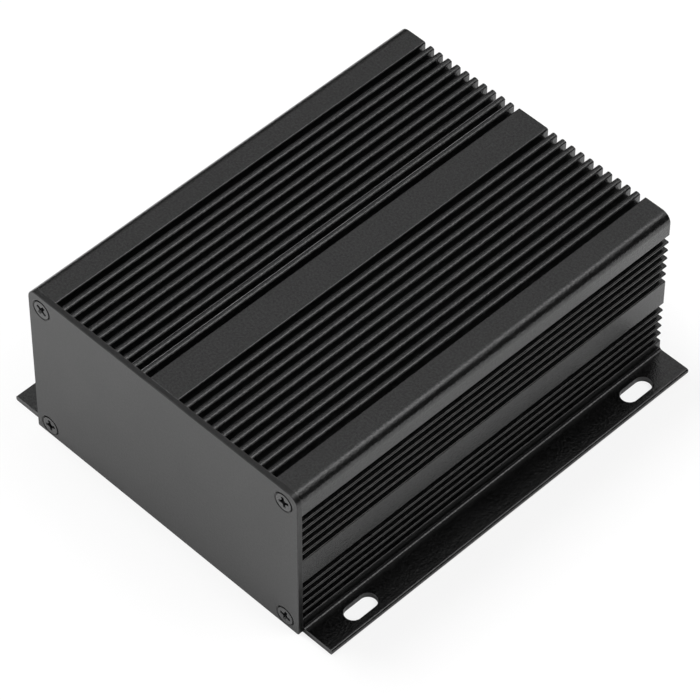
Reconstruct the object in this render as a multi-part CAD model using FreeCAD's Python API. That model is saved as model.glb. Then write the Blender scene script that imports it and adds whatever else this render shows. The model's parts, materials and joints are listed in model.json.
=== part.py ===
"""Extruded aluminium enclosure with mounting flanges, a screwed front plate and an open rear end.

The enclosure stands on its flat bottom. X runs across it, Y along the extrusion and Z up.
The origin is at the middle of the footprint, on the bottom face. The front plate faces -Y.
"""
import FreeCAD, Part
import math
import os

os.makedirs("parts", exist_ok=True)

Vector = FreeCAD.Vector

# Overall sizes of the extrusion
body_width = 80.0
body_height = 44.0
body_length = 108.7
corner_radius = 2.5

# Ribs on the top: two banks between a flat centre strip and flat strips at the shoulders
top_rib_pitch = 2.68
top_rib_thickness = 1.4
top_rib_edge_slope = math.radians(50.0)
top_groove_depth = 3.2
centre_strip_width = 8.8
least_shoulder_strip = 7.0
top_strip_edge_radius = 0.5

# Ribs on the sides: a lower and an upper bank, with a flat band between them
side_rib_pitch = 2.5
side_rib_thickness = 0.65
side_groove_depth = 1.8
side_groove_root_radius = 0.7
base_strip_height = 4.15
lower_bank_ribs = 4
upper_bank_ribs = 5
side_band_height = 7.3
side_strip_edge_radius = 0.3

# Walls behind the grooves, and the floor
top_skin = 1.7
side_wall = 1.6
floor_thickness = 1.6

# Mounting flanges along both bottom edges, with two slots each
flange_width = 8.5
flange_thickness = 1.4
flange_edge_radius = 0.5
flange_fillet = 0.8
slot_width = 4.2
slot_length = 8.5
slot_spacing = 84.0
slot_offset = 4.45

# Guide slots for circuit boards on the inner side walls
guide_heights = (9.5, 24.0)
board_slot = 1.8
guide_rib_thickness = 1.2
guide_rib_length = 2.0

# Screw ports in the four corners, open towards the inside
port_inset = 4.0
port_below_top = 4.0
port_above_bottom = 2.9
port_bore = 2.5
port_wall = 1.15
port_mouth = 1.1

# Front plate and its countersunk holes
plate_thickness = 1.3
plate_edge_chamfer = 0.15
plate_bottom_radius = 0.4
hole_diameter = 3.2
countersink_diameter = 5.3

# Countersunk screws with a cross recess, and the tapped front ends of the ports that hold them
screw_length = 8.0
thread_diameter = 3.0
tapped_depth = 9.0
head_gap = 0.1
thread_gap = 0.025
recess_span = 2.9
recess_wing = 0.62
recess_depth = 1.5
recess_core = 1.25
recess_taper = math.radians(9.0)
recess_point_angle = math.radians(28.0)
# One turn for each screw, in the order of the ports: lower left, lower right, upper left, upper right
screw_turns = (76.0, 12.0, 32.0, 76.0)

# Places that follow from the sizes above
half_width = body_width / 2
front_face = -(body_length + plate_thickness) / 2
plate_back = front_face + plate_thickness
rear_end = plate_back + body_length
body_middle = (plate_back + rear_end) / 2
port_x = half_width - port_inset
port_heights = (port_above_bottom, body_height - port_below_top)
port_radius = port_bore / 2 + port_wall
ceiling = body_height - top_groove_depth - top_skin
inner_half_width = half_width - side_groove_depth - side_wall
top_bank_room = half_width - least_shoulder_strip - centre_strip_width / 2
top_ribs_per_bank = math.floor((top_bank_room + top_rib_thickness) / top_rib_pitch) - 1


def at(x, z, y=0.0):
    """Returns the point at x and z in the section at y."""
    return Vector(x, y, z)


def rounded_face(corners, y=0.0):
    """Makes a flat face at y from corners (x, z, radius), with an arc in each corner that has a radius.

    A radius is limited to what the walls beside its corner leave room for: the whole of a wall
    whose other corner is sharp, and half of one whose other corner is rounded too.
    """
    count = len(corners)
    points = [at(x, z, y) for x, z, radius in corners]
    entries = []
    for index, (x, z, radius) in enumerate(corners):
        here = points[index]
        back = points[index - 1].sub(here)
        ahead = points[(index + 1) % count].sub(here)
        half_angle = back.getAngle(ahead) / 2
        back_room = back.Length if corners[index - 1][2] == 0 else back.Length / 2
        ahead_room = ahead.Length if corners[(index + 1) % count][2] == 0 else ahead.Length / 2
        reach = min(radius / math.tan(half_angle), back_room, ahead_room)
        back.normalize()
        ahead.normalize()
        start = here + back * reach
        end = here + ahead * reach
        if reach < 1e-6:
            entries.append((here, None, here))
            continue
        towards_centre = (back + ahead).normalize()
        fitted_radius = reach * math.tan(half_angle)
        to_centre = reach / math.cos(half_angle)
        middle = here + towards_centre * (to_centre - fitted_radius)
        entries.append((start, middle, end))
    edges = []
    for index, (start, middle, end) in enumerate(entries):
        if middle is not None:
            edges.append(Part.Arc(start, middle, end).toShape())
        following = entries[(index + 1) % count][0]
        if end.distanceToPoint(following) > 1e-6:
            edges.append(Part.makeLine(end, following))
    return Part.Face(Part.Wire(edges))


def mirrored(corners):
    """Returns the corners' mirror images about X = 0, in the opposite order."""
    return [(-x, z, radius) for x, z, radius in reversed(corners)]


def groove_starts(first, ribs, pitch, thickness):
    """Returns where each groove of a bank starts and ends: one more groove than it has ribs."""
    width = pitch - thickness
    return [(first + index * pitch, first + index * pitch + width) for index in range(ribs + 1)]


def bank_length(ribs, pitch, thickness):
    """Returns how far a bank of ribs reaches from its first groove's start to its last groove's end."""
    return (ribs + 1) * pitch - thickness


def side_banks():
    """Returns the lowest and highest point of each groove on a side, for the lower and the upper bank."""
    lower = groove_starts(base_strip_height, lower_bank_ribs, side_rib_pitch, side_rib_thickness)
    lower_end = base_strip_height + bank_length(lower_bank_ribs, side_rib_pitch, side_rib_thickness)
    upper_start = lower_end + side_band_height
    upper = groove_starts(upper_start, upper_bank_ribs, side_rib_pitch, side_rib_thickness)
    return [lower, upper]


def top_grooves():
    """Returns the near and far edge of each groove of one top bank, from the centre strip outwards."""
    return groove_starts(centre_strip_width / 2, top_ribs_per_bank, top_rib_pitch, top_rib_thickness)


def side_outline_corners():
    """Lists the outline of one side's grooves from the bottom up: the ribs between them have round tips."""
    root_x = half_width - side_groove_depth
    tip_radius = side_rib_thickness / 2
    corners = []
    for bank in side_banks():
        for low, high in bank:
            low_radius = side_strip_edge_radius if low == bank[0][0] else tip_radius
            high_radius = side_strip_edge_radius if high == bank[-1][1] else tip_radius
            corners.append((half_width, low, low_radius))
            corners.append((root_x, low, side_groove_root_radius))
            corners.append((root_x, high, side_groove_root_radius))
            corners.append((half_width, high, high_radius))
    return corners


def top_rib_crown(outer_x):
    """Lists the corners of one top rib's arched top, from its outer flank at outer_x inwards."""
    radius = top_rib_thickness / 2 / math.sin(top_rib_edge_slope)
    edge_z = body_height - radius * (1 - math.cos(top_rib_edge_slope))
    peak_z = body_height + radius / math.cos(top_rib_edge_slope) - radius
    middle_x = outer_x - top_rib_thickness / 2
    inner_x = outer_x - top_rib_thickness
    return [(outer_x, edge_z, 0.0), (middle_x, peak_z, radius), (inner_x, edge_z, 0.0)]


def top_outline_corners():
    """Lists the outline of one top bank, from the shoulder strip's edge to the centre strip's edge."""
    root_z = body_height - top_groove_depth
    grooves = top_grooves()
    corners = [(grooves[-1][1], body_height, top_strip_edge_radius)]
    for near, far in reversed(grooves):
        corners.append((far, root_z, 0.0))
        corners.append((near, root_z, 0.0))
        if near > grooves[0][0]:
            corners += top_rib_crown(near)
    corners.append((grooves[0][0], body_height, top_strip_edge_radius))
    return corners


def outline_corners():
    """Lists the right half of the outer outline, from the flange's underside to the centre strip."""
    flange_x = half_width + flange_width
    corners = [
        (flange_x, 0.0, flange_edge_radius),
        (flange_x, flange_thickness, flange_edge_radius),
        (half_width, flange_thickness, flange_fillet),
    ]
    corners += side_outline_corners()
    corners.append((half_width, body_height, corner_radius))
    corners += top_outline_corners()
    return corners


def cavity_corners():
    """Lists the right half of the inner outline, with the ribs that form the board slots."""
    tip_x = inner_half_width - guide_rib_length
    corners = [(inner_half_width, floor_thickness, 0.0)]
    for height in guide_heights:
        for low in (height - board_slot / 2 - guide_rib_thickness, height + board_slot / 2):
            high = low + guide_rib_thickness
            corners.append((inner_half_width, low, 0.0))
            corners.append((tip_x, low, 0.0))
            corners.append((tip_x, high, 0.0))
            corners.append((inner_half_width, high, 0.0))
    corners.append((inner_half_width, ceiling, 0.0))
    return corners


def disc(x, z, radius):
    """Makes a round flat face in the section plane."""
    circle = Part.Circle(at(x, z), Vector(0, 1, 0), radius)
    return Part.Face(Part.Wire(circle.toShape()))


def port_places():
    """Lists the four ports: their x and z, and the direction in which their mouth opens."""
    places = []
    for z in port_heights:
        inward_z = 1.0 if z < body_height / 2 else -1.0
        for side in (-1.0, 1.0):
            places.append((side * port_x, z, Vector(-side, 0, inward_z).normalize()))
    return places


def port_mouth_face(x, z, inward):
    """Makes the mouth of a port: a strip from its axis out through its wall."""
    across = Vector(inward.z, 0, -inward.x) * (port_mouth / 2)
    reach = inward * (port_radius + port_wall)
    centre = at(x, z)
    points = [centre + across, centre + across + reach, centre - across + reach, centre - across]
    return Part.Face(Part.makePolygon(points + points[:1]))


def make_section():
    """Makes the cross-section of the extrusion."""
    right = outline_corners()
    outline = rounded_face(right + mirrored(right))
    right = cavity_corners()
    cavity = rounded_face(right + mirrored(right))
    for x, z, inward in port_places():
        cavity = cavity.cut(disc(x, z, port_radius))
    section = outline.cut(cavity)
    for x, z, inward in port_places():
        section = section.cut(disc(x, z, port_bore / 2))
        section = section.cut(port_mouth_face(x, z, inward))
    return section


def slot_cutter(x, y):
    """Makes the solid that cuts one flange slot, long along Y, with round ends."""
    below = -1.0
    height = flange_thickness - 2 * below
    reach = (slot_length - slot_width) / 2
    radius = slot_width / 2
    middle = Part.makeBox(slot_width, 2 * reach, height, Vector(x - radius, y - reach, below))
    ends = [Part.makeCylinder(radius, height, Vector(x, y + side * reach, below)) for side in (-1, 1)]
    return middle.fuse(ends).removeSplitter()


def countersink(x, z):
    """Makes the cone that is cut for one screw head, from the plate's front face inwards."""
    depth = (countersink_diameter - hole_diameter) / 2
    start = at(x, z, front_face)
    return Part.makeCone(countersink_diameter / 2, hole_diameter / 2, depth, start, Vector(0, 1, 0))


def make_body():
    """Makes the extrusion: the section drawn to length, its flanges slotted and its ports tapped.

    A tapped stretch is plain, at its thread's outer diameter. Where the plate is thinner than
    the screw heads, their countersinks run on into the ports.
    """
    section = make_section()
    section.translate(Vector(0, plate_back, 0))
    body = section.extrude(Vector(0, body_length, 0))
    slot_x = half_width + slot_offset
    for x in (-slot_x, slot_x):
        for y in (body_middle - slot_spacing / 2, body_middle + slot_spacing / 2):
            body = body.cut(slot_cutter(x, y))
    for x, z, inward in port_places():
        start = at(x, z, plate_back)
        tapped = Part.makeCylinder(thread_diameter / 2, tapped_depth, start, Vector(0, 1, 0))
        body = body.cut([tapped, countersink(x, z)])
    return body.Solids[0]


def make_plate():
    """Makes the front plate, with bevelled front edges and a countersunk hole at each port."""
    corners = [
        (half_width, 0.0, plate_bottom_radius),
        (half_width, body_height, corner_radius),
        (-half_width, body_height, corner_radius),
        (-half_width, 0.0, plate_bottom_radius),
    ]
    plate = rounded_face(corners, front_face).extrude(Vector(0, plate_thickness, 0))
    rim = [edge for edge in plate.Edges if abs(edge.BoundBox.YMax - front_face) < 1e-6]
    plate = plate.makeChamfer(plate_edge_chamfer, rim)
    for x, z, inward in port_places():
        hole = Part.makeCylinder(hole_diameter / 2, plate_thickness, at(x, z, front_face), Vector(0, 1, 0))
        plate = plate.cut(hole.fuse(countersink(x, z)))
    return plate.Solids[0]


def recess_wing_solid(angle):
    """Makes one bar of the cross recess, with flanks and ends that lean in towards its bottom."""
    lean = recess_depth * math.tan(recess_taper)
    wires = []
    for depth, shrink in ((-head_gap, 0.0), (recess_depth, lean)):
        half_span = recess_span / 2 - 2 * shrink
        half_wing = recess_wing / 2 - shrink / 2
        points = [
            Vector(-half_span, depth, -half_wing),
            Vector(half_span, depth, -half_wing),
            Vector(half_span, depth, half_wing),
            Vector(-half_span, depth, half_wing),
        ]
        wires.append(Part.makePolygon(points + points[:1]))
    bar = Part.makeLoft(wires, True, True)
    bar.rotate(Vector(0, 0, 0), Vector(0, 1, 0), angle)
    return bar


def make_screw(x, z, turn):
    """Makes one screw on the axis of a port, with its head seated in the plate's countersink."""
    head_radius = countersink_diameter / 2 - head_gap
    shank_radius = thread_diameter / 2 - thread_gap
    profile = [
        Vector(0, 0, 0),
        Vector(head_radius, 0, 0),
        Vector(shank_radius, head_radius - shank_radius, 0),
        Vector(shank_radius, screw_length, 0),
        Vector(0, screw_length, 0),
    ]
    screw = Part.Face(Part.makePolygon(profile + profile[:1])).revolve(Vector(0, 0, 0), Vector(0, 1, 0), 360)
    bars = [recess_wing_solid(turn), recess_wing_solid(turn + 90)]
    point_depth = recess_core / 2 * math.tan(recess_point_angle)
    core = Part.makeCylinder(recess_core / 2, recess_depth, Vector(0, 0, 0), Vector(0, 1, 0))
    point = Part.makeCone(recess_core / 2, 0, point_depth, Vector(0, recess_depth, 0), Vector(0, 1, 0))
    screw = screw.cut(bars[0].fuse([bars[1], core, point]))
    screw.translate(at(x, z, front_face + head_gap))
    return screw.Solids[0]


def make_screws():
    """Makes the four plate screws, each driven home at an angle of its own."""
    return [make_screw(x, z, turn) for (x, z, inward), turn in zip(port_places(), screw_turns)]


def main():
    """Builds the pieces and writes one file for each node."""
    nodes = {
        "body": make_body(),
        "front_plate": make_plate(),
        "plate_screws": Part.makeCompound(make_screws()),
    }
    for name, shape in nodes.items():
        shape.exportStep("parts/" + name + ".step")
        box = shape.optimalBoundingBox(False)
        print(name, "solids", len(shape.Solids), "valid", shape.isValid(), "volume", round(shape.Volume, 2),
              "x", round(box.XMin, 3), round(box.XMax, 3), "y", round(box.YMin, 3), round(box.YMax, 3),
              "z", round(box.ZMin, 3), round(box.ZMax, 3))


main()
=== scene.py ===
"""Gives the extruded enclosure its materials, its detailed screws, a plain studio and the camera."""

import json
import math

import bmesh
import bpy
from mathutils import Matrix, Vector


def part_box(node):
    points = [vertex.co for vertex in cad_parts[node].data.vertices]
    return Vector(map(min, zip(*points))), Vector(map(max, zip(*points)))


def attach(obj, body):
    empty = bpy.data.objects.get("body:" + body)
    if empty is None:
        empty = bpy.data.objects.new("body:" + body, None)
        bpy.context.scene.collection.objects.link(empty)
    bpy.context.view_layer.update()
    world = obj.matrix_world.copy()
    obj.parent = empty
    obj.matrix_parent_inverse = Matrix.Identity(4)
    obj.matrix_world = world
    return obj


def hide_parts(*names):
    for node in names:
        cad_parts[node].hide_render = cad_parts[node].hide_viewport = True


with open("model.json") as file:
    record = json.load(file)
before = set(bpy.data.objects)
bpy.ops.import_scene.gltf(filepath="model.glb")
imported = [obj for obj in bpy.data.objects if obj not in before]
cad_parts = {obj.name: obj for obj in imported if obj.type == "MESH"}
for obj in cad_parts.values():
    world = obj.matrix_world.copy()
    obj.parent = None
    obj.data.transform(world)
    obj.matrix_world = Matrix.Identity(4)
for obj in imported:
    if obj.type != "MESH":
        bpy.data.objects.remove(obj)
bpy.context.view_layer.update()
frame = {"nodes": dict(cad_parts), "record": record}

# Sizes on the object are in millimetres and become metres by this factor. The studio is in metres
MM = 0.001

# Places on the CAD part. The ports run its whole length, so the front screws are on the rear ports' axes
ports = next(mount for mount in frame["record"]["mounts"] if mount["name"] == "rear_screw_ports")
PORTS_APART = ports["dims"]["spacing_x_mm"]
PORTS_RISE = ports["dims"]["spacing_y_mm"]
PORTS_HEIGHT = ports["pos_m"][2] / MM
FRONT_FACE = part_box("front_plate")[0].y / MM
TOP_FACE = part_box("body")[1].z / MM

# Sizes that the screws share with the CAD part
SHANK_RADIUS = 1.475
SCREW_LENGTH = 8.0
RECESS_SPAN = 2.9
RECESS_DEPTH = 1.5
SCREW_TURNS = (76.0, 12.0, 32.0, 76.0)

# The finer heads, which differ a little from the plain ones of the CAD part
HEAD_GAP = 0.02
RIM_RADIUS = 2.15
RIM_ROUNDING = 0.06
HEAD_DEPTH = 0.795
RECESS_WING = 0.72
RECESS_CORE = 1.4
RECESS_LEAN = math.radians(7.0)
RECESS_ROUNDING = 0.03
RECESS_POINT = 0.3
MOUTH_DEPTH = 0.04
WING_CORNER = 0.06

# The thread: a groove that makes a turn for each pitch, from a plain neck to a short tip where it fades
THREAD_PITCH = 0.5
THREAD_DEPTH = 0.28
RINGS_PER_PITCH = 8
NECK_LENGTH = 0.2
TIP_LENGTH = 0.35
TIP_RINGS = 6
TIP_GROOVE = 0.25
TIP_INSET = 0.12
GROOVE_FULLNESS = 1.25
GROOVE_STEEPNESS = 3.5

# Edges of the screws that turn by less than this are shaded smooth
SMOOTH_BELOW = math.radians(35.0)

# The middle of a noise's values, which the materials spread over ranges of their own
NOISE_MIDDLE = (0.35, 0.65)

# Wear along sharp edges, which also paints a highlight on them: its reach, how sharply the surface has to
# turn, how strong it gets, and the pale grey that it paints
WEAR_AND_HIGHLIGHT_REACH = 0.25
WEAR_AND_HIGHLIGHT_SAMPLES = 6
WEAR_AND_HIGHLIGHT_TURN = (0.99, 0.92)
WEAR_AND_HIGHLIGHT_STRENGTH = (0.02, 0.15)
WORN_AND_HIGHLIGHT_GREY = 0.35

# Pale lines along the left edges of the top ribs, partly wear and partly a painted highlight: one line's
# place across the part, the stretch where such lines run, and how strong they are. LINE_EDGE is how far from
# its middle a line begins, and where it is full
RIB_PITCH = 2.68
LEFT_BANK_LINE = -6.96
RIGHT_BANK_LINE = 5.80
RIB_WEAR_AND_HIGHLIGHT_LINES = (
    (LEFT_BANK_LINE, -8.0, -6.0, 1.0),
    (LEFT_BANK_LINE, -11.0, -8.0, 0.55),
    (LEFT_BANK_LINE, -32.5, -11.0, 0.08),
    (RIGHT_BANK_LINE, 5.0, 32.5, 0.08),
)
LINE_EDGE = (0.18, 0.06)
STRETCH_EDGE = 0.1
RIB_CROWNS = (TOP_FACE - 0.8, TOP_FACE - 0.6)

# Greys of the screws' black oxide, in its pits and where it has worn
OXIDE_DARK = (0.006, 0.006, 0.0062, 1.0)
OXIDE_WORN = (0.03, 0.03, 0.031, 1.0)

# The studio, in metres, and the camera. FLOOR_GLOW is the share of even light in what is seen of the floor
WORLD_LEVEL = 0.55
FLOOR_REACH = 6.0
FLOOR_GREY = 0.9
FLOOR_GLOW = 0.8
PANEL_ROUGHNESS = 0.9
CARD_GREY = 0.95
CARD_DIRECTION = (-0.465, 0.464, 0.754)
CARD_DISTANCE = 1.6
CARD_HALF_WIDTH = 0.55
LAMP_AIM = (0.0, 0.0, 0.03)
CAMERA_PLACE = (0.42359, -0.42337, 0.70013)
CAMERA_AIM = (0.00439, -0.00477, 0.020)
CAMERA_ROLL = math.radians(0.213)
CAMERA_LENS = 218.81


# Nodes that the materials and the studio share

def noise(tree, scale, detail, stretch=(1.0, 1.0, 1.0)):
    """Adds a noise texture that is fixed to the object, and returns its value's socket."""
    place = tree.nodes.new("ShaderNodeTexCoord")
    mapping = tree.nodes.new("ShaderNodeMapping")
    mapping.inputs["Scale"].default_value = stretch
    texture = tree.nodes.new("ShaderNodeTexNoise")
    texture.inputs["Scale"].default_value = scale
    texture.inputs["Detail"].default_value = detail
    tree.links.new(place.outputs["Object"], mapping.inputs["Vector"])
    tree.links.new(mapping.outputs["Vector"], texture.inputs["Vector"])
    return texture.outputs["Fac"]


def ranged(tree, source, span, result):
    """Maps a value from one range to another, and holds it at the ends."""
    node = tree.nodes.new("ShaderNodeMapRange")
    node.inputs["From Min"].default_value, node.inputs["From Max"].default_value = span
    node.inputs["To Min"].default_value, node.inputs["To Max"].default_value = result
    tree.links.new(source, node.inputs["Value"])
    return node.outputs["Result"]


def changed(tree, operation, source, *values):
    """Changes a value by a sum, a product or the like with fixed numbers."""
    node = tree.nodes.new("ShaderNodeMath")
    node.operation = operation
    tree.links.new(source, node.inputs[0])
    for socket, value in zip(node.inputs[1:], values):
        socket.default_value = value
    return node.outputs[0]


def combined(tree, operation, first, second):
    """Joins two values by a sum, a product or the like."""
    node = tree.nodes.new("ShaderNodeMath")
    node.operation = operation
    tree.links.new(first, node.inputs[0])
    tree.links.new(second, node.inputs[1])
    return node.outputs[0]


def coloured(tree, source, span, low_colour, high_colour):
    """Turns a value's range into the colours between two."""
    ramp = tree.nodes.new("ShaderNodeValToRGB")
    for element, position, colour in zip(ramp.color_ramp.elements, span, (low_colour, high_colour)):
        element.position = position
        element.color = colour
    tree.links.new(source, ramp.inputs["Fac"])
    return ramp.outputs["Color"]


def bumped(tree, source, height):
    """Turns a value into fine relief of a height in metres, and returns the normal's socket."""
    bump = tree.nodes.new("ShaderNodeBump")
    bump.inputs["Distance"].default_value = height
    tree.links.new(source, bump.inputs["Height"])
    return bump.outputs["Normal"]


def mixed(tree, share, first, second):
    """Mixes two shaders by a share."""
    mix = tree.nodes.new("ShaderNodeMixShader")
    for socket, source in zip(mix.inputs, (share, first, second)):
        tree.links.new(source, socket)
    return mix.outputs[0]


def light_path(tree, kinds):
    """Returns a socket that is 1 for any of the named kinds of ray."""
    path = tree.nodes.new("ShaderNodeLightPath")
    total = path.outputs[kinds[0]]
    for kind in kinds[1:]:
        total = combined(tree, "MAXIMUM", total, path.outputs[kind])
    return total


# Materials

def new_material(name, ior):
    """Makes a node material and returns it with its node tree and its shader."""
    material = bpy.data.materials.new(name)
    material.use_nodes = True
    shader = material.node_tree.nodes["Principled BSDF"]
    shader.inputs["IOR"].default_value = ior
    return material, material.node_tree, shader


def cool_grey(value):
    """Gives a grey with a faint blue cast as a colour."""
    return value, value, value * 1.02, 1.0


def edge_wear_and_highlight(tree):
    """Returns a socket that rises along sharp edges in patches, where the dyed layer has worn thin and where
    a highlight is painted along them.
    """
    bevel = tree.nodes.new("ShaderNodeBevel")
    bevel.samples = WEAR_AND_HIGHLIGHT_SAMPLES
    bevel.inputs["Radius"].default_value = WEAR_AND_HIGHLIGHT_REACH * MM
    geometry = tree.nodes.new("ShaderNodeNewGeometry")
    facing = tree.nodes.new("ShaderNodeVectorMath")
    facing.operation = "DOT_PRODUCT"
    tree.links.new(bevel.outputs["Normal"], facing.inputs[0])
    tree.links.new(geometry.outputs["Normal"], facing.inputs[1])
    edge = ranged(tree, facing.outputs["Value"], span=WEAR_AND_HIGHLIGHT_TURN, result=(0.0, 1.0))
    patches = ranged(tree, noise(tree, scale=300.0, detail=2.0), NOISE_MIDDLE, WEAR_AND_HIGHLIGHT_STRENGTH)
    return combined(tree, "MULTIPLY", edge, patches)


def rib_wear_and_highlight_lines(tree):
    """Returns a socket that rises in thin lines along the left edges of the top ribs, as wear and as a
    painted highlight.
    """
    place = tree.nodes.new("ShaderNodeSeparateXYZ")
    tree.links.new(tree.nodes.new("ShaderNodeTexCoord").outputs["Object"], place.inputs[0])
    half_pitch = RIB_PITCH / 2 * MM
    clear, full = LINE_EDGE
    total = None
    for line_x, low, high, line_strength in RIB_WEAR_AND_HIGHLIGHT_LINES:
        away = changed(tree, "SUBTRACT", place.outputs["X"], line_x * MM)
        from_nearest = changed(tree, "ABSOLUTE", changed(tree, "WRAP", away, half_pitch, -half_pitch))
        line = ranged(tree, from_nearest, (clear * MM, full * MM), (0.0, line_strength))
        for start, end in ((low - STRETCH_EDGE, low), (high + STRETCH_EDGE, high)):
            inside = ranged(tree, place.outputs["X"], (start * MM, end * MM), (0.0, 1.0))
            line = combined(tree, "MULTIPLY", line, inside)
        total = line if total is None else combined(tree, "MAXIMUM", total, line)
    lowest, highest = RIB_CROWNS
    crowns = ranged(tree, place.outputs["Z"], (lowest * MM, highest * MM), (0.0, 1.0))
    streaks = noise(tree, scale=150.0, detail=2.0, stretch=(1.0, 0.15, 1.0))
    patches = ranged(tree, streaks, span=(0.35, 0.6), result=(0.45, 1.0))
    return combined(tree, "MULTIPLY", combined(tree, "MULTIPLY", total, crowns), patches)


def anodised(name, pit, crest, dull, roughness, cloud, grain_height, ior, rib_wear_and_highlight):
    """Makes satin black anodised aluminium: a fine blasted grain under a dyed layer with faint clouds.

    The grain runs from the grey pit to the grey crest. Its pits are metallic by the share dull, so that they
    mirror less. The clouds move the roughness by cloud to either side.
    """
    material, tree, shader = new_material(name, ior)
    grain = noise(tree, scale=2000.0, detail=2.0)
    tree.links.new(ranged(tree, grain, NOISE_MIDDLE, (dull, 0.0)), shader.inputs["Metallic"])
    clouds = noise(tree, scale=60.0, detail=3.0)
    rough = ranged(tree, clouds, NOISE_MIDDLE, (roughness - cloud, roughness + cloud))
    tree.links.new(rough, shader.inputs["Roughness"])
    # Pale grey along sharp edges, and along the top ribs' left edges where asked: partly wear, partly a
    # painted highlight
    wear_and_highlight = edge_wear_and_highlight(tree)
    if rib_wear_and_highlight:
        wear_and_highlight = combined(tree, "MAXIMUM", wear_and_highlight, rib_wear_and_highlight_lines(tree))
    colour = tree.nodes.new("ShaderNodeMix")
    colour.data_type = "RGBA"
    sockets = {socket.identifier: socket for socket in [*colour.inputs, *colour.outputs]}
    tree.links.new(wear_and_highlight, sockets["Factor_Float"])
    grained = coloured(tree, grain, NOISE_MIDDLE, cool_grey(pit), cool_grey(crest))
    tree.links.new(grained, sockets["A_Color"])
    sockets["B_Color"].default_value = cool_grey(WORN_AND_HIGHLIGHT_GREY)
    tree.links.new(sockets["Result_Color"], shader.inputs["Base Color"])
    tree.links.new(bumped(tree, grain, height=grain_height * MM), shader.inputs["Normal"])
    return material


def screw_steel(name):
    """Makes black oxide steel: a little shinier than the plate around it, with worn and oily spots."""
    material, tree, shader = new_material(name, ior=1.65)
    wear = noise(tree, scale=1500.0, detail=3.0)
    grain = noise(tree, scale=4000.0, detail=2.0)
    rough = ranged(tree, wear, span=(0.3, 0.7), result=(0.24, 0.42))
    tree.links.new(rough, shader.inputs["Roughness"])
    colour = coloured(tree, wear, span=(0.45, 0.75), low_colour=OXIDE_DARK, high_colour=OXIDE_WORN)
    tree.links.new(colour, shader.inputs["Base Color"])
    tree.links.new(bumped(tree, grain, height=0.008 * MM), shader.inputs["Normal"])
    return material


# Screws

def recess_ring(half_span, half_wing, core, depth):
    """Lists the points of the cross recess's outline at a depth: four wings around a round core."""
    flank = math.asin(half_wing / core)
    core_angles = (math.pi / 4, (math.pi / 4 + flank) / 2)
    half = [(core * math.cos(angle), -core * math.sin(angle)) for angle in core_angles]
    start = core * math.cos(flank)
    end = half_span - WING_CORNER
    half += [(start + (end - start) * share, -half_wing) for share in (0.0, 0.33, 0.66, 1.0)]
    rounded = WING_CORNER * 0.3
    half.append((half_span - rounded, -half_wing + rounded))
    half.append((half_span, -half_wing + WING_CORNER))
    wing = half + [(half_span, 0.0)] + [(x, -z) for x, z in reversed(half[1:])]
    points = []
    for quarter in range(4):
        turn = Matrix.Rotation(quarter * math.pi / 2, 3, "Y")
        points += [turn @ Vector((x, depth, -z)) for x, z in wing]
    return points


def at_radius(point, radius, depth):
    """Moves a point to a distance from the screw's axis and to a depth, and keeps its direction."""
    out = Vector((point.x, 0.0, point.z)).normalized() * radius
    return Vector((out.x, depth, out.z))


def even_ring(start_angle, radii, depth):
    """Lists the points of a ring in equal steps of angle, each at its own radius."""
    points = []
    for index, radius in enumerate(radii):
        angle = start_angle - 2 * math.pi * index / len(radii)
        points.append(Vector((radius * math.cos(angle), depth, radius * math.sin(angle))))
    return points


def head_rings():
    """Lists the rings of the head, from the bottom of the recess up and out over the rim to the shank.

    The steps of angle change bit by bit over the top, from those of the recess's outline to equal ones.
    """
    rings = []
    for depth in (RECESS_DEPTH, RECESS_DEPTH / 2, MOUTH_DEPTH):
        shrink = math.tan(RECESS_LEAN) * depth
        half_wing = RECESS_WING / 2 - shrink / 2
        core = RECESS_CORE / 2 - shrink / 2
        rings.append(recess_ring(RECESS_SPAN / 2 - 2 * shrink, half_wing, core, depth))
    mouth = [size / 2 + RECESS_ROUNDING for size in (RECESS_SPAN, RECESS_WING, RECESS_CORE)]
    outline = recess_ring(*mouth, 0.0)
    rings.append(outline)
    start_angle = math.atan2(outline[0].z, outline[0].x)
    # A ring's share of equal steps, its radius and its depth
    profile = (
        (0.5, 1.85, 0.0),
        (0.85, RIM_RADIUS - RIM_ROUNDING, 0.0),
        (1.0, RIM_RADIUS - 0.02, 0.008),
        (1.0, RIM_RADIUS, 0.03),
        (1.0, RIM_RADIUS, RIM_ROUNDING),
        (1.0, RIM_RADIUS - 0.02, 0.10),
    )
    for share, radius, depth in profile:
        own = [at_radius(point, radius, depth) for point in outline]
        even = even_ring(start_angle, [radius] * len(outline), depth)
        rings.append([at_radius(near.lerp(far, share), radius, depth) for near, far in zip(own, even)])
    rings.append(even_ring(start_angle, [SHANK_RADIUS] * len(outline), HEAD_DEPTH))
    return rings, start_angle


def thread_rings(start_angle, count):
    """Lists the rings of the threaded shank, down to its tip."""
    rings = []
    thread_start = HEAD_DEPTH + NECK_LENGTH
    step = THREAD_PITCH / RINGS_PER_PITCH
    rows = int((SCREW_LENGTH - TIP_LENGTH - thread_start) / step)
    for row in range(rows + 1):
        y = thread_start + row * step
        fade = min(1.0, row / RINGS_PER_PITCH, (rows - row) / TIP_RINGS + TIP_GROOVE)
        radii = []
        for index in range(count):
            phase = (y / THREAD_PITCH - index / count) % 1.0
            groove = min(1.0, max(0.0, GROOVE_FULLNESS - abs(phase - 0.5) * GROOVE_STEEPNESS))
            radii.append(SHANK_RADIUS - THREAD_DEPTH * fade * groove)
        rings.append(even_ring(start_angle, radii, y))
    rings.append(even_ring(start_angle, [SHANK_RADIUS - THREAD_DEPTH - TIP_INSET] * count, SCREW_LENGTH))
    return rings


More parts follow.
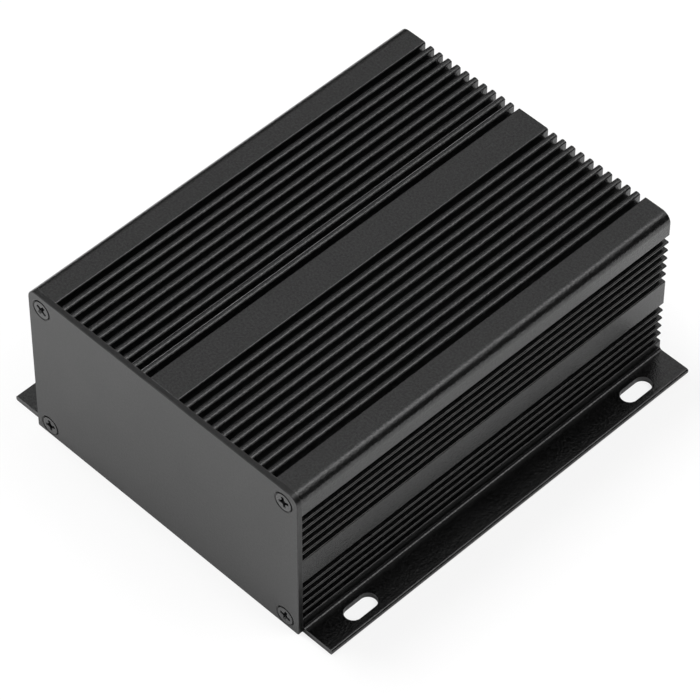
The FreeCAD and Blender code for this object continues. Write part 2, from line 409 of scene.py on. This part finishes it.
def screw_mesh():
    """Makes one screw's mesh along +Y from the origin: a countersunk head, a cross recess and a thread."""
    rings, start_angle = head_rings()
    count = len(rings[0])
    rings += thread_rings(start_angle, count)
    mesh = bmesh.new()
    rows = [[mesh.verts.new(point * MM) for point in ring] for ring in rings]
    recess_point = mesh.verts.new(Vector((0.0, RECESS_DEPTH + RECESS_POINT, 0.0)) * MM)
    for index in range(count):
        mesh.faces.new((rows[0][index], rows[0][(index + 1) % count], recess_point))
    for lower, upper in zip(rows, rows[1:]):
        for index in range(count):
            following = (index + 1) % count
            mesh.faces.new((lower[index], lower[following], upper[following], upper[index]))
    mesh.faces.new(rows[-1])
    bmesh.ops.recalc_face_normals(mesh, faces=mesh.faces)
    data = bpy.data.meshes.new("plate_screw")
    mesh.to_mesh(data)
    mesh.free()
    return data


def make_screws(material):
    """Puts a detailed screw in place of each plain one, at the same turn."""
    master = screw_mesh()
    heights = (PORTS_HEIGHT - PORTS_RISE / 2, PORTS_HEIGHT + PORTS_RISE / 2)
    places = [(x, z) for z in heights for x in (-PORTS_APART / 2, PORTS_APART / 2)]
    names = ("screw_lower_left", "screw_lower_right", "screw_upper_left", "screw_upper_right")
    for name, (x, z), turn in zip(names, places, SCREW_TURNS):
        data = master.copy()
        data.transform(Matrix.Rotation(math.radians(turn), 4, "Y"))
        data.transform(Matrix.Translation(Vector((x, FRONT_FACE + HEAD_GAP, z)) * MM))
        data.materials.append(material)
        screw = bpy.data.objects.new(name, data)
        bpy.context.scene.collection.objects.link(screw)
        data.polygons.foreach_set("use_smooth", [True] * len(data.polygons))
        data.set_sharp_from_angle(angle=SMOOTH_BELOW)
        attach(screw, "root")
        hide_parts("plate_screws")
    bpy.data.meshes.remove(master)


# Studio

def make_world():
    """Makes a plain world that lights evenly and looks white."""
    world = bpy.data.worlds.new("studio")
    bpy.context.scene.world = world
    world.use_nodes = True
    tree = world.node_tree
    tree.nodes.clear()
    out = tree.nodes.new("ShaderNodeOutputWorld")
    plain = tree.nodes.new("ShaderNodeBackground")
    white = tree.nodes.new("ShaderNodeBackground")
    for background, level in ((plain, WORLD_LEVEL), (white, 1.0)):
        background.inputs["Color"].default_value = (1.0, 1.0, 1.0, 1.0)
        background.inputs["Strength"].default_value = level
    seen = light_path(tree, ("Is Camera Ray", "Is Glossy Ray", "Is Transmission Ray"))
    tree.links.new(mixed(tree, seen, plain.outputs[0], white.outputs[0]), out.inputs["Surface"])


def quad(name, corners, material):
    """Makes a flat four-cornered piece of the studio."""
    mesh = bpy.data.meshes.new(name)
    mesh.from_pydata([Vector(corner) for corner in corners], [], [(0, 1, 2, 3)])
    mesh.materials.append(material)
    piece = bpy.data.objects.new(name, mesh)
    bpy.context.scene.collection.objects.link(piece)
    return piece


def make_floor():
    """Makes the pale floor: near white to the eye with a soft shadow, and clear when seen from below."""
    material = bpy.data.materials.new("floor_paper")
    material.use_nodes = True
    tree = material.node_tree
    tree.nodes.clear()
    out = tree.nodes.new("ShaderNodeOutputMaterial")
    paper = tree.nodes.new("ShaderNodeBsdfDiffuse")
    paper.inputs["Color"].default_value = (FLOOR_GREY, FLOOR_GREY, FLOOR_GREY, 1.0)
    glow = tree.nodes.new("ShaderNodeEmission")
    seen = light_path(tree, ("Is Camera Ray", "Is Transmission Ray"))
    top = mixed(tree, changed(tree, "MULTIPLY", seen, FLOOR_GLOW), paper.outputs[0], glow.outputs[0])
    side = tree.nodes.new("ShaderNodeNewGeometry")
    clear = tree.nodes.new("ShaderNodeBsdfTransparent")
    tree.links.new(mixed(tree, side.outputs["Backfacing"], top, clear.outputs[0]), out.inputs["Surface"])
    corners = [(x * FLOOR_REACH, y * FLOOR_REACH, 0.0) for x, y in ((-1, -1), (1, -1), (1, 1), (-1, 1))]
    quad("floor", corners, material)


def make_lamp(name, place, width, length, watts, mirrored):
    """Makes a soft rectangular lamp that points at the object, and may stay out of its reflections."""
    data = bpy.data.lights.new(name, "AREA")
    data.shape = "RECTANGLE"
    data.size = width
    data.size_y = length
    data.energy = watts
    lamp = bpy.data.objects.new(name, data)
    lamp.location = place
    lamp.rotation_euler = (Vector(LAMP_AIM) - Vector(place)).to_track_quat("-Z", "Y").to_euler()
    lamp.visible_glossy = mirrored
    bpy.context.scene.collection.objects.link(lamp)


def make_panel(name, paper, grey, centre, across, up):
    """Makes a grey panel that the camera doesn't see, from its centre, half width and half height."""
    material = bpy.data.materials.new(paper)
    material.use_nodes = True
    shader = material.node_tree.nodes["Principled BSDF"]
    shader.inputs["Base Color"].default_value = (grey, grey, grey, 1.0)
    shader.inputs["Roughness"].default_value = PANEL_ROUGHNESS
    corners = (centre - across - up, centre + across - up, centre + across + up, centre - across + up)
    quad(name, corners, material).visible_camera = False


def make_flag(name, degrees, grey, distance, half_width, height):
    """Makes a grey panel that stands on the floor off the object, at an angle from +X."""
    out_x, out_y = math.cos(math.radians(degrees)), math.sin(math.radians(degrees))
    across = Vector((-out_y, out_x, 0.0)) * half_width
    up = Vector((0.0, 0.0, height / 2))
    make_panel(name, name + "_cloth", grey, Vector((out_x, out_y, 0.0)) * distance + up, across, up)


def make_card():
    """Makes the pale card that hangs off the upper rear left and faces the object, whose top reflects it."""
    centre = Vector(CARD_DIRECTION) * CARD_DISTANCE
    across = Vector((centre.y, -centre.x, 0.0)).normalized() * CARD_HALF_WIDTH
    up = centre.normalized().cross(across).normalized() * CARD_HALF_WIDTH
    make_panel("card", "card_paper", CARD_GREY, centre, across, up)


def make_camera():
    """Puts the camera where it stood for the photograph."""
    data = bpy.data.cameras.new("camera")
    data.lens = CAMERA_LENS
    data.sensor_width = 36.0
    data.clip_start = 0.05
    data.clip_end = 50.0
    camera = bpy.data.objects.new("camera", data)
    place = Vector(CAMERA_PLACE)
    turn = (Vector(CAMERA_AIM) - place).to_track_quat("-Z", "Y").to_matrix().to_4x4()
    camera.matrix_world = Matrix.Translation(place) @ turn @ Matrix.Rotation(CAMERA_ROLL, 4, "Z")
    bpy.context.scene.collection.objects.link(camera)
    bpy.context.scene.camera = camera


def set_material(node, material):
    """Gives a CAD node's slots a finished material."""
    piece = frame["nodes"][node]
    for slot in piece.material_slots:
        slot.material = material


set_material("body", anodised(
    "anodised_extrusion", pit=0.0004, crest=0.005, dull=0.34, roughness=0.225, cloud=0.03, grain_height=0.06,
    ior=1.68, rib_wear_and_highlight=True))
set_material("front_plate", anodised(
    "anodised_plate", pit=0.001, crest=0.003, dull=0.12, roughness=0.30, cloud=0.02, grain_height=0.02,
    ior=1.515, rib_wear_and_highlight=False))
make_screws(screw_steel("black_oxide_steel"))

bpy.context.scene.view_settings.view_transform = "Standard"
make_world()
make_floor()
make_flag("right_flag", degrees=33.0, grey=0.05, distance=0.85, half_width=0.75, height=0.78)
make_flag("left_flag", degrees=147.0, grey=0.12, distance=0.85, half_width=0.75, height=0.58)
make_flag("front_flag", degrees=300.0, grey=0.05, distance=1.20, half_width=0.80, height=0.50)
make_lamp("softbox", place=(0.25, 0.43, 1.01), width=0.34, length=0.46, watts=1.05, mirrored=True)
make_lamp("key", place=(-0.66, -0.16, 1.33), width=0.50, length=0.50, watts=14.0, mirrored=False)
make_lamp("fill", place=(0.60, 0.30, 1.00), width=0.50, length=0.50, watts=4.2, mirrored=False)
make_card()
make_camera()
